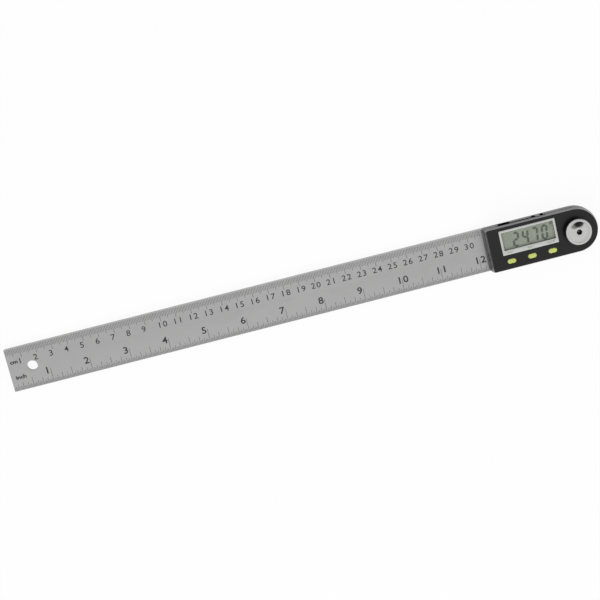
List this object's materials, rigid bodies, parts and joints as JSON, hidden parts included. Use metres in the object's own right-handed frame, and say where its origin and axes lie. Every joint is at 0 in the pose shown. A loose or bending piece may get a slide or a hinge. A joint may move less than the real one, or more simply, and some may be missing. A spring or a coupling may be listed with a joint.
{
  "type": "digital angle finder",
  "caption": "Digital angle finder: two flat steel rulers hinged at one end, with a display housing, push buttons, a battery drawer and a round lock knob over the pivot.",
  "frame": {"origin": "on the pivot axis, at the back face of the rear ruler, which is the face it rests on", "axes": "+X from the ruler tips towards the round end of the housing, +Y towards the battery drawer's side, +Z out of the display"},
  "size_m": [0.3818, 0.0292, 0.0215],
  "materials": {
    "ruler_steel": "fine lengthwise grind with black etched graduations",
    "stud_steel": "turned steel",
    "bush_brass": "turned",
    "washer_nylon": "natural nylon",
    "knob_chrome": "polished crown with faint turning marks, plated",
    "housing_black": "fine moulded texture",
    "bezel_silver": "satin silver",
    "window_clear": "clear",
    "lcd_grey_green": "reflective liquid-crystal panel",
    "pad_rubber": "matte",
    "button_lime": "satin",
    "board_green": "solder mask over glass-fibre board",
    "chip_black": "moulded epoxy",
    "cell_steel": "plated can",
    "contact_nickel": "nickel-plated spring sheet"
  },
  "bodies": {
    "display_arm": {"front_blade": "ruler_steel", "pivot_bush": "bush_brass", "friction_washer": "washer_nylon", "thrust_washer": "stud_steel", "housing_tub": "housing_black", "housing_cover": "housing_black", "display_bezel": "bezel_silver", "display_window": "window_clear", "lcd_panel": "lcd_grey_green", "lcd_connector_strip": "pad_rubber", "circuit_board": "board_green", "controller_chip": "chip_black", "button_pad": "pad_rubber", "rim_contact": "contact_nickel", "face_contact": "contact_nickel", "housing_screw_1": "stud_steel", "housing_screw_2": "stud_steel", "housing_screw_3": "stud_steel", "housing_screw_4": "stud_steel"},
    "rear_arm": {"rear_blade": "ruler_steel", "pivot_stud": "stud_steel", "encoder_rotor": "board_green", "rotor_clip": "stud_steel"},
    "lock_knob": {"lock_knob": "knob_chrome"},
    "battery_drawer": {"battery_drawer": "housing_black", "coin_cell": "cell_steel"},
    "left_button": {"left_button": "button_lime"},
    "middle_button": {"middle_button": "button_lime"},
    "right_button": {"right_button": "button_lime"}
  },
  "joints": [
    {"name": "arm_pivot", "type": "hinge", "parent": "display_arm", "child": "rear_arm", "pos_m": [0, 0, 0], "axis": [0, 0, 1], "continuous": true},
    {"name": "knob_thread", "type": "hinge", "parent": "rear_arm", "child": "lock_knob", "pos_m": [0, 0, 0.018], "axis": [0, 0, 1], "range_deg": [0, 360]},
    {"name": "drawer_slide", "type": "slide", "parent": "display_arm", "child": "battery_drawer", "axis": [0, 1, 0], "range_m": [0, 0.022]},
    {"name": "left_button_press", "type": "slide", "parent": "display_arm", "child": "left_button", "axis": [0, 0, -1], "range_m": [0, 0.0005], "stiffness_N_per_m": 2000},
    {"name": "middle_button_press", "type": "slide", "parent": "display_arm", "child": "middle_button", "axis": [0, 0, -1], "range_m": [0, 0.0005], "stiffness_N_per_m": 2000},
    {"name": "right_button_press", "type": "slide", "parent": "display_arm", "child": "right_button", "axis": [0, 0, -1], "range_m": [0, 0.0005], "stiffness_N_per_m": 2000}
  ]
}
